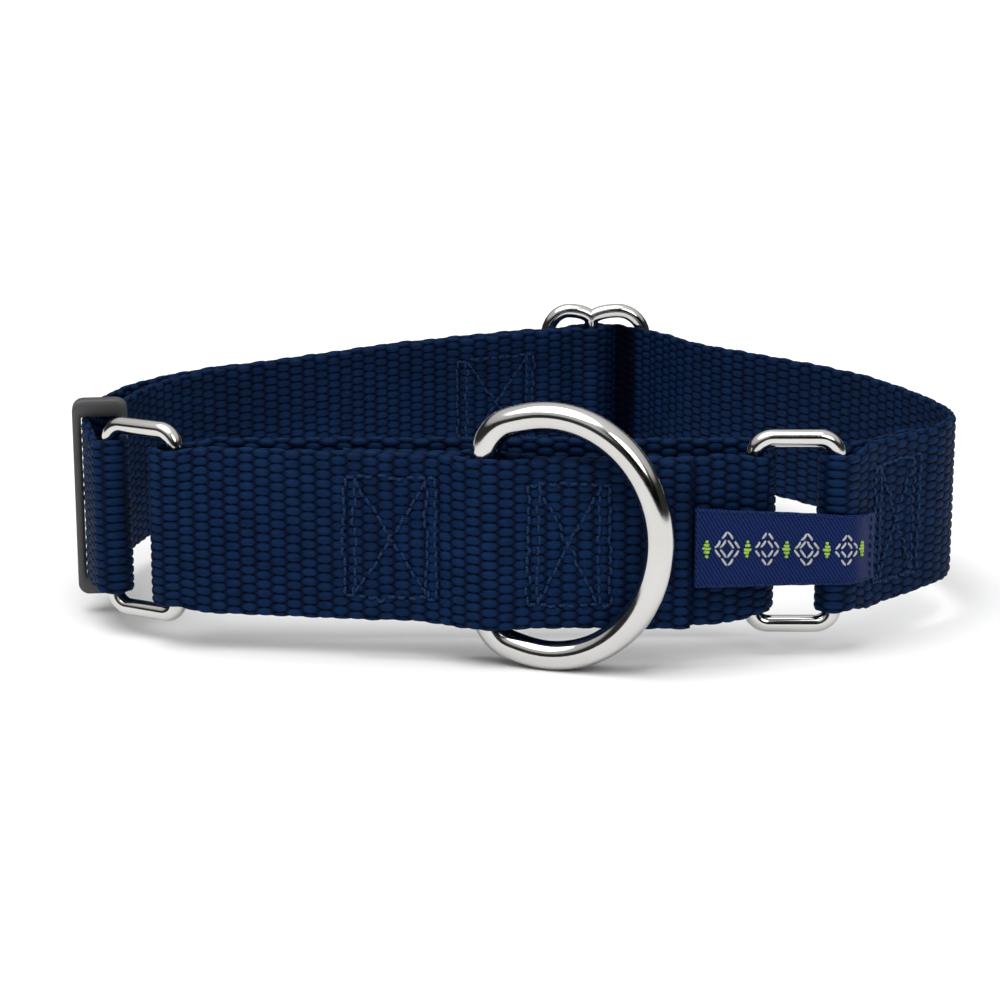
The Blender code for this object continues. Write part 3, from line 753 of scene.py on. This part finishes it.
def thread_material():
    n = material("navy_sewing_thread")
    u, v = n.weave_uv()
    twist = n.math("FRACT", n.plus(n.times(u, 1.7), n.math("DIVIDE", v, THREAD_SIDES / 2)))
    ply = n.math("SINE", n.times(twist, math.pi))
    spots = n.noise(n.place_mm(), 0.8, 2.0)
    colour = n.mix(ply, (0.0016, 0.0065, 0.0260), (0.0100, 0.0310, 0.0920))
    tone = n.plus(n.times(spots, 0.6), 0.7)
    n.set(base_color=n.shade(colour, tone))
    n.set(roughness=n.smoothstep(spots, 0.3, 0.7, 0.38, 0.55), specular=0.10)
    n.bump(ply, 0.10, 0.8)
    return n.owner


def nickel_material():
    n = material("polished_nickel")
    place = n.place_mm()
    haze = n.noise(place, 0.09, 3.0)
    pits = n.noise(place, 1.4, 4.0, 0.65)
    colour = n.mix(haze, (0.53, 0.520, 0.500), (0.61, 0.605, 0.595))
    n.set(base_color=colour, metallic=1.0)
    n.set(roughness=n.plus(n.smoothstep(haze, 0.35, 0.7, 0.055, 0.12), n.times(pits, 0.05)))
    n.bump(n.plus(pits, n.times(haze, 2.0)), 0.012, 0.5)
    return n.owner


def plastic_material():
    n = material("keeper_matte_plastic")
    place = n.place_mm()
    grain = n.noise(place, 3.2, 3.0, 0.7)
    cloud = n.noise(place, 0.12, 2.0)
    colour = n.mix(cloud, (0.042, 0.042, 0.044), (0.062, 0.062, 0.065))
    n.set(base_color=n.mix(n.smoothstep(grain, 0.55, 0.8), colour, (0.085, 0.085, 0.088)))
    n.set(roughness=n.smoothstep(grain, 0.3, 0.7, 0.42, 0.58), specular=0.45)
    n.bump(grain, 0.05, 0.5)
    return n.owner


def satin_material():
    n = material("label_navy_satin")
    u, v = n.weave_uv()
    slant = n.plus(n.times(u, 1.15), n.times(v, 0.75))
    twill = n.math("SINE", n.times(slant, 2 * math.pi))
    picks = n.math("SINE", n.times(v, 2 * math.pi * 2.6))
    thread = n.weave_noise(u, v, 0.7, 9.0, 2.0)
    lines = n.plus(n.times(twill, 0.6), n.times(picks, 0.25))
    lines = n.plus(n.times(lines, 0.5), thread)
    body = n.smoothstep(lines, 0.10, 0.90)
    n.set(base_color=n.mix(body, (0.0010, 0.0040, 0.0300), (0.0075, 0.0230, 0.1150)))
    n.set(roughness=n.smoothstep(thread, 0.3, 0.7, 0.40, 0.55), specular=0.06)
    n.bump(lines, 0.06, 0.7)
    return n.owner


def motif_material(name, dark, light):
    """Embroidered yarn of one colour."""
    n = material(name)
    u, v = n.weave_uv()
    slant = n.plus(u, n.times(v, 0.3))
    strands = n.math("SINE", n.times(slant, 2 * math.pi * 2.2))
    spots = n.noise(n.place_mm(), 1.1, 2.0)
    body = n.smoothstep(n.plus(n.times(strands, 0.5), spots), -0.2, 1.1)
    n.set(base_color=n.mix(body, dark, light), roughness=n.smoothstep(spots, 0.3, 0.7, 0.45, 0.6))
    n.set(sheen_weight=0.15)
    n.bump(strands, 0.07, 0.7)
    return n.owner


def floor_material():
    n = material("pale_floor")
    mottle = n.noise(n.place_mm(), 0.004, 2.0)
    n.set(base_color=n.mix(mottle, (0.86, 0.86, 0.86), (0.89, 0.89, 0.89)), roughness=0.75, specular=0.15)
    return n.owner


# -------------------- stitching
def box_lines(s0, s1, half=BOX_HALF):
    """Seam lines of a box with a cross in it; the two ends are sewn in several rows."""
    lines = []
    for k in range(BOX_ROWS):
        lines.append(((s0 + k * BOX_ROW_STEP, -half), (s0 + k * BOX_ROW_STEP, half)))
        lines.append(((s1 - k * BOX_ROW_STEP, half), (s1 - k * BOX_ROW_STEP, -half)))
    lines.append(((s0, half), (s1, half)))
    lines.append(((s1, -half), (s0, -half)))
    low, high = s0 + BOX_ROW_STEP, s1 - BOX_ROW_STEP
    lines.append(((low, -half + CROSS_INSET), (high, half - CROSS_INSET)))
    lines.append(((low, half - CROSS_INSET), (high, -half + CROSS_INSET)))
    return lines


def web_level(s, w):
    return WEB_MID_Z + w


def stitches(strap, lines, side, rng, radius=THREAD_R, surface=HALF_THICK - STITCH_INTO_FACE,
             level=web_level, stray=STITCH_STRAY):
    """Thread along seam lines on one face: each stitch is a short domed strand, sunk at its ends."""
    parts = []
    hump = np.sin(np.linspace(0, math.pi, STITCH_POINTS))
    thin = radius * (0.72 + 0.28 * hump ** 0.5)
    margin = STITCH_GAP / 2 / STITCH_PITCH
    middle = STITCH_POINTS // 2
    for (s0, w0), (s1, w1) in lines:
        run = math.hypot(s1 - s0, w1 - w0)
        count = max(1, int(round(run / STITCH_PITCH)))
        for k in range(count):
            t = np.linspace((k + margin) / count, (k + 1 - margin) / count, STITCH_POINTS)
            shift = rng.normal(0.0, stray, 2)
            bend = rng.normal(0.0, stray)
            s = s0 + (s1 - s0) * t + shift[0] * (1 - 0.4 * hump) + bend * hump * (w1 - w0) / run
            w = w0 + (w1 - w0) * t + shift[1] * 0.5 - bend * hump * (s1 - s0) / run
            rise = STITCH_RISE + rng.normal(0, STITCH_RISE_SPREAD)
            plan = strap.at(s, side * (surface - STITCH_SINK + rise * hump ** 0.7))
            points = np.column_stack([plan, level(s, w)])
            at = s[middle:middle + 1]
            normal = strap.at(at, 1.0)[0] - strap.at(at, 0.0)[0]
            parts.append(sweep(points, thin, THREAD_SIDES, False, np.array([*normal, 0.0])))
    return parts


def thread_object(name, parts, mat):
    verts, faces, uv = join(parts)
    return mesh_object(name, to_frame(verts), faces, mat, uv)


def assign(piece, node, body=None):
    """State the CAD node that a piece replaces and the one body that it rides on."""
    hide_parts(node)
    if body:
        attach(piece, body)


# -------------------- webbing pieces
def build_control_loop(neck, web, thread, rng):
    path, outer_start = loop_plies()
    bars = [(*neck.left_inner_bar, SQUEEZE), (*neck.right_inner_bar, SQUEEZE)]
    loop = Strap(path, COLUMN_LOOP, LOOP_CELLS, bars, LOOP_SEED)
    pieces = []
    for ends, name in zip(FRONT_BOXES, ("left", "right")):
        outer = box_lines(*[loop.s_near(x, outer_start, loop.length) for x in ends])
        under = box_lines(*[loop.s_near(x, 0.0, LOOP_UNDER_END) for x in ends])
        loop.seams += [outer, under]
        parts = stitches(loop, outer, -1, rng) + stitches(loop, under, 1, rng)
        pieces.append(thread_object("thread_front_" + name, parts, thread))
        assign(pieces[-1], "box_stitch_front_" + name, "control_loop")
    pieces.append(loop.build("webbing_control_loop", web))
    assign(pieces[-1], "control_loop", "control_loop")
    fixed = to_frame((*DRING_BAR, WEB_MID_Z))
    for piece in pieces:
        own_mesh(piece)


def build_neck_right(neck, web, thread, rng):
    bars = [(*neck.right_bar, SQUEEZE), *[(x, TRI_Y, TRI_SQUEEZE) for x in TRI_BARS]]
    strap = Strap(neck.right, COLUMN_NECK, NECK_CELLS, bars, NECK_SEED)
    strap.phase = -strap.length
    start = neck.right_tail_length
    outer = box_lines(start + RIGHT_BOX[0], start + RIGHT_BOX[1])
    fold = start - math.pi * FOLD_R / 2
    inner = [tuple((2 * fold - s + RIGHT_BOX_SHIFT, w) for s, w in line) for line in outer]
    strap.seams += [outer, inner]
    parts = stitches(strap, outer, -1, rng) + stitches(strap, inner, -1, rng)
    sewn = thread_object("thread_right_end", parts, thread)
    assign(sewn, "box_stitch_right_end", "neck_right")
    webbing = strap.build("webbing_neck_right", web)
    assign(webbing, "neck_strap_right")
    bend = [tuple(to_frame((x, TRI_Y, WEB_MID_Z))) for x in BACK_BEND]
    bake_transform(webbing)


def build_neck_left(neck, web, thread, rng):
    bars = [(*neck.left_bar, SQUEEZE), *[(x, TRI_Y, TRI_SQUEEZE) for x in TRI_BARS]]
    strap = Strap(neck.left, COLUMN_NECK, NECK_CELLS, bars, NECK_SEED)
    middle = (neck.front_start + neck.back_start) / 2
    ends = [strap.s_near(x, middle, neck.back_start - TRI_BOX_REACH) for x in TRI_BOX]
    lines = box_lines(*ends, half=TRI_BOX_HALF)
    strap.seams.append(lines)
    sewn = thread_object("thread_tri_glide", stitches(strap, lines, -1, rng), thread)
    assign(sewn, "box_stitch_tri_glide", "neck_left")
    webbing = strap.build("webbing_neck_left", web)
    assign(webbing, "neck_strap_left", "neck_left")


# -------------------- wire, keeper
def rounded_outline(half_x, half_z, corner, corner_points=14):
    points = []
    for sx, sz, start in ((1, 1, 0), (-1, 1, 90), (-1, -1, 180), (1, -1, 270)):
        centre = (sx * (half_x - corner), sz * (half_z - corner))
        points.extend(arc(centre, corner, start, start + 90, corner_points))
    return np.array(points)


def wire_object(name, points, radius, sides, mat):
    verts, faces, uv = sweep(points, radius, sides, True)
    return mesh_object(name, to_frame(verts), faces, mat, uv)


def build_rings(neck, nickel):
    for name, one, two in (("ring_left", neck.left_bar, neck.left_inner_bar),
                           ("ring_right", neck.right_bar, neck.right_inner_bar)):
        across = (two - one) / np.linalg.norm(two - one)
        outline = rounded_outline(RING_BAR_SPACING / 2, RING_HALF_HEIGHT, RING_CORNER)
        plan = (one + two) / 2 + outline[:, :1] * across
        points = np.column_stack([plan, WEB_MID_Z + outline[:, 1]])
        assign(wire_object("wire_" + name, points, RING_WIRE_R, RING_SIDES, nickel), name, name)


def build_d_ring(nickel):
    turn = math.acos((DRING_BOW_START - DRING_ARC_MID) / DRING_ARC_A)
    upper = [(0.0, z) for z in np.linspace(0.0, DRING_SHOULDER, 20)]
    corner = arc((DRING_CORNER, DRING_SHOULDER), DRING_CORNER, 180.0, DRING_CORNER_END, 14)
    upper += [tuple(q) for q in corner[1:]]
    upper += [(DRING_ARC_MID + DRING_ARC_A * math.cos(a), DRING_ARC_B * math.sin(a))
              for a in np.linspace(turn, 0.0, 60)]
    outline = np.array(upper + [(u, -v) for u, v in upper[1:-1]][::-1])
    outline = resample(np.vstack([outline, outline[:1]]), DRING_STEP)[:-1]
    for _ in range(DRING_ROUNDING):
        outline = (np.roll(outline, 1, axis=0) + 2 * outline + np.roll(outline, -1, axis=0)) / 4
    a = math.radians(DRING_REST_ANGLE)
    points = np.column_stack([DRING_BAR[0] + outline[:, 0] * math.cos(a),
                              DRING_BAR[1] + outline[:, 0] * math.sin(a), DRING_MID_Z + outline[:, 1]])
    ring = wire_object("wire_d_ring", points, DRING_WIRE_R, DRING_SIDES, nickel)
    assign(ring, "d_ring", "d_ring")


def build_tri_glide(nickel):
    """Two bowed loops that share a middle bar."""
    left, middle, right = TRI_BARS
    upper = []
    for x0, x1 in ((left, middle), (middle, right)):
        mid, half = (x0 + x1) / 2, (x1 - x0) / 2
        for t in np.linspace(math.pi, 0.0, TRI_ARCH_POINTS):
            u = math.cos(t)
            outer_side = (u < 0) == (x0 == left)
            foot = TRI_BAR_HALF if outer_side else TRI_NOTCH
            upper.append((mid + half * u, foot + (TRI_TOP - foot) * math.sin(t)))
    upper = upper[:TRI_ARCH_POINTS] + upper[TRI_ARCH_POINTS + 1:]
    outline = np.array(upper + [(x, -z) for x, z in upper][::-1])
    points = np.column_stack([outline[:, 0], np.full(len(outline), TRI_Y), WEB_MID_Z + outline[:, 1]])
    slider = wire_object("wire_tri_glide", points, TRI_WIRE_R, TRI_SIDES, nickel)
    bar = [(middle, TRI_Y, WEB_MID_Z + z) for z in np.linspace(-TRI_NOTCH, TRI_NOTCH, 9)]
    verts, faces, uv = sweep(bar, TRI_WIRE_R * TRI_BAR_SHARE, TRI_SIDES, False, np.array([0.0, 1.0, 0.0]))
    middle_bar = mesh_object("tri_glide_middle", to_frame(verts), faces, nickel, uv)
    union = slider.modifiers.new("middle_bar", "BOOLEAN")
    union.operation = "UNION"
    union.solver = "EXACT"
    union.object = middle_bar
    bpy.context.view_layer.update()
    united = slider.evaluated_get(bpy.context.evaluated_depsgraph_get())
    slider.data = bpy.data.meshes.new_from_object(united)
    slider.modifiers.clear()
    bpy.data.objects.remove(middle_bar, do_unlink=True)
    assign(slider, "tri_glide", "neck_left")


def build_keeper(neck, plastic):
    """Moulded frame: a rounded section swept round the strap, thicker across the two ends."""
    along = neck.keeper_dir
    across = np.array([-along[1], along[0]])
    inner_half = neck.keeper_gap / 2 + WEB_THICK / 2 + KEEPER_CLEAR
    outer_half = inner_half + KEEPER_BAR
    inner_half -= KEEPER_SNUG
    inner_up = WEB_WIDTH / 2 + KEEPER_CLEAR_UP
    inner = rounded_outline(inner_half, inner_up, KEEPER_INNER_CORNER, KEEPER_CORNER_POINTS)
    outer = rounded_outline(outer_half, inner_up + KEEPER_END_BAR, KEEPER_OUTER_CORNER, KEEPER_CORNER_POINTS)
    section = rounded_outline(0.5, KEEPER_DEPTH / 2, KEEPER_EDGE, 5)
    share = section[:, 0] + 0.5
    depth = section[:, 1] * (1 - KEEPER_CROWN * np.cos(2 * np.pi * share))
    ring = inner[:, None, :] * (1 - share)[None, :, None] + outer[:, None, :] * share[None, :, None]
    plan = neck.keeper_mid + (ring[:, :, :1] + KEEPER_SHIFT) * across + depth[None, :, None] * along
    points = np.dstack([plan, WEB_MID_Z + ring[:, :, 1]]).reshape(-1, 3)
    index = np.arange(len(points)).reshape(len(inner), len(section))
    right, below = np.roll(index, -1, axis=1), np.roll(index, -1, axis=0)
    faces = np.stack([index, right, np.roll(right, -1, axis=0), below], -1).reshape(-1, 4).tolist()
    keeper = mesh_object("moulded_keeper", to_frame(points), faces, plastic)
    assign(keeper, "keeper", "keeper")


# -------------------- label
def label_tape(tape, level, satin):
    """The satin tape: a thin rounded section swept along the label's route."""
    half_t = LABEL_THICK / 2
    outline = rounded_outline(half_t, LABEL_HEIGHT / 2, half_t * 0.98, LABEL_CORNER_POINTS)
    top = 2 * LABEL_CORNER_POINTS
    side = np.linspace(-1, 1, LABEL_ROWS)[1:-1] * (LABEL_HEIGHT / 2 - half_t)
    right_side = np.column_stack([np.full(len(side), half_t), side])
    section = np.vstack([outline[:top], right_side[::-1] * (-1, 1), outline[top:], right_side])
    count = int(round(tape.length / LABEL_CELL))
    s = np.linspace(0.0, tape.length, count + 1)[:, None]
    wave = LABEL_WAVE * np.sin(s / 3.1) * np.cos(section[None, :, 1] / 4.0)
    plan = tape.at(s + 0 * section[None, :, 0], section[None, :, 0] + wave)
    rise = level(s, section[None, :, 1]) + LABEL_WANDER * ripple(s / 2.2, 5)
    points = np.dstack([plan, rise]).reshape(-1, 3)
    index = np.arange(len(points)).reshape(count + 1, len(section))
    nxt = np.roll(index, -1, axis=1)
    faces = np.stack([index[:-1], nxt[:-1], nxt[1:], index[1:]], -1).reshape(-1, 4).tolist()
    uv = []
    v = section[:, 1]
    for here, there in zip(s[:-1, 0], s[1:, 0]):
        for low, high in zip(v, np.roll(v, -1)):
            uv += [[here, low], [here, high], [there, high], [there, low]]
    for ring, at, order in ((index[0], s[0, 0], -1), (index[-1], s[-1, 0], 1)):
        faces.append([int(q) for q in ring[::order]])
        uv += [[at, float(q)] for q in v[::order]]
    return mesh_object("label_tape", to_frame(points), faces, satin, uv)


def diamond_lines():
    """A row of diamonds, each with a smaller one inside."""
    lines = []
    for k in range(MOTIF_COUNT):
        at = MOTIF_START + k * MOTIF_STEP
        for grow in (1.0, MOTIF_CENTRE_SHARE):
            w, h = MOTIF_HALF_WIDTH * grow, MOTIF_HALF_HEIGHT * grow
            corners = [(at - w, 0.0), (at, h), (at + w, 0.0), (at, -h)]
            lines += [(corners[i], corners[(i + 1) % 4]) for i in range(4)]
    return lines


def dash_lines():
    """Between the diamonds, short dashes that narrow upwards and downwards."""
    lines = []
    for k in range(MOTIF_COUNT + 1):
        at = MOTIF_START + (k - 0.5) * MOTIF_STEP
        for rise in DASH_RISES:
            reach = DASH_REACH - DASH_SLOPE * abs(rise)
            lines.append(((at - reach, rise), (at + reach, rise)))
    return lines


def build_label(satin, thread, pale, green):
    rng = np.random.default_rng(RNG_SEED + 1)
    tape = Strap(smooth(LABEL_PATH, PATH_STEP))

    def level(s, w):
        share = s / tape.length
        return LABEL_MID_Z - LABEL_DROP * share + w * (1 + (LABEL_HEIGHT_END / LABEL_HEIGHT - 1) * share)

    def sewn(name, lines, radius, lift, mat, slot):
        parts = stitches(tape, lines, -1, rng, radius, LABEL_THICK / 2 + lift, level, LABEL_STRAY)
        piece = thread_object(name, parts, mat)
        return piece

    label = label_tape(tape, level, satin)
    assign(label, "label")
    length = tape.length
    edge = LABEL_HEIGHT / 2 - LABEL_BORDER
    borders = [((0.4, edge), (length - 0.4, edge)), ((0.4, -edge), (length - 0.4, -edge)),
               ((0.5, -edge), (0.5, edge))]
    pieces = [label, sewn("label_border_thread", borders, 0.16, 0.0, thread, "thread"),
              sewn("label_woven_diamonds", diamond_lines(), 0.26, 0.05, pale, "label_satin"),
              sewn("label_woven_dots", dash_lines(), 0.34, 0.05, green, "label_satin")]
    seam = [((length - LABEL_SEAM, -edge), (length - LABEL_SEAM, edge))]
    pieces.append(sewn("label_seam_thread", seam, 0.22, 0.0, thread, "thread"))
    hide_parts("label_stitch")
    ends = [tuple(to_frame((x, LABEL_PATH[0][1], LABEL_MID_Z))) for x in LABEL_BEND]
    for piece in pieces:
        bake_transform(piece)


# -------------------- camera, light, floor
def sun(name, direction, spread, strength):
    data = bpy.data.lights.new(name, "SUN")
    data.angle = math.radians(spread)
    data.energy = strength
    light = bpy.data.objects.new(name, data)
    light.rotation_euler = Vector(direction).to_track_quat("-Z", "Y").to_euler()
    bpy.context.scene.collection.objects.link(light)


def build_floor():
    half = FLOOR_HALF
    corners = [(-half, -half, 0), (half, -half, 0), (half, half, 0), (-half, half, 0)]
    mesh_object("floor", corners, [(0, 1, 2, 3)], floor_material())


def build_camera():
    camera = bpy.data.objects.new("camera", bpy.data.cameras.new("camera"))
    camera.data.lens = CAMERA_LENS
    camera.data.sensor_width = 36.0
    camera.data.clip_end = 100.0
    camera.location = to_frame(CAMERA_AT)
    camera.rotation_euler = (math.radians(90.0 - CAMERA_PITCH), 0.0, 0.0)
    bpy.context.scene.collection.objects.link(camera)
    bpy.context.scene.camera = camera


def build_world():
    """A bright studio in steps of height with one dark side; the camera sees it as plain near-white."""
    n = Nodes(bpy.data.worlds.new("studio"), "Background")
    where = n.add("ShaderNodeTexCoord").outputs["Generated"]
    split = n.add("ShaderNodeSeparateXYZ")
    n.feed(where, split.inputs[0])
    steps = n.add("ShaderNodeValToRGB")
    n.feed(split.outputs["Z"], steps.inputs[0])
    stops = steps.color_ramp.elements
    stops[0].color = (0.9, 0.9, 0.9, 1.0)
    stops[1].color = (1.0, 1.0, 1.0, 1.0)
    for at, level in WORLD_STOPS:
        stops.new(at).color = (level, level, level, 1.0)
    facing = n.add("ShaderNodeVectorMath", operation="DOT_PRODUCT")
    n.feed(where, facing.inputs[0])
    n.feed(DARK_SIDE, facing.inputs[1])
    wall = n.smoothstep(facing.outputs["Value"], *DARK_SIDE_EDGE, 1.0, DARK_SIDE_LEVEL)
    lit = n.add("ShaderNodeVectorMath", operation="SCALE")
    n.feed(steps.outputs[0], lit.inputs[0])
    n.feed(wall, lit.inputs["Scale"])
    seen = n.add("ShaderNodeLightPath").outputs["Is Camera Ray"]
    n.set(color=n.mix(seen, lit.outputs[0], BACKDROP), strength=WORLD_STRENGTH)
    bpy.context.scene.world = n.owner


def main():
    neck = NeckLayout()
    web, thread = webbing_material(), thread_material()
    nickel = nickel_material()
    rng = np.random.default_rng(RNG_SEED)
    build_control_loop(neck, web, thread, rng)
    build_neck_right(neck, web, thread, rng)
    build_neck_left(neck, web, thread, rng)
    build_rings(neck, nickel)
    build_d_ring(nickel)
    build_tri_glide(nickel)
    build_keeper(neck, plastic_material())
    pale = motif_material("label_pale_yarn", (0.30, 0.31, 0.33), (0.62, 0.64, 0.66))
    green = motif_material("label_green_yarn", (0.20, 0.36, 0.03), (0.45, 0.72, 0.08))
    build_label(satin_material(), thread, pale, green)
    build_floor()
    build_camera()
    build_world()
    bpy.context.scene.view_settings.view_transform = "Standard"
    for light in SUNS:
        sun(*light)


main()
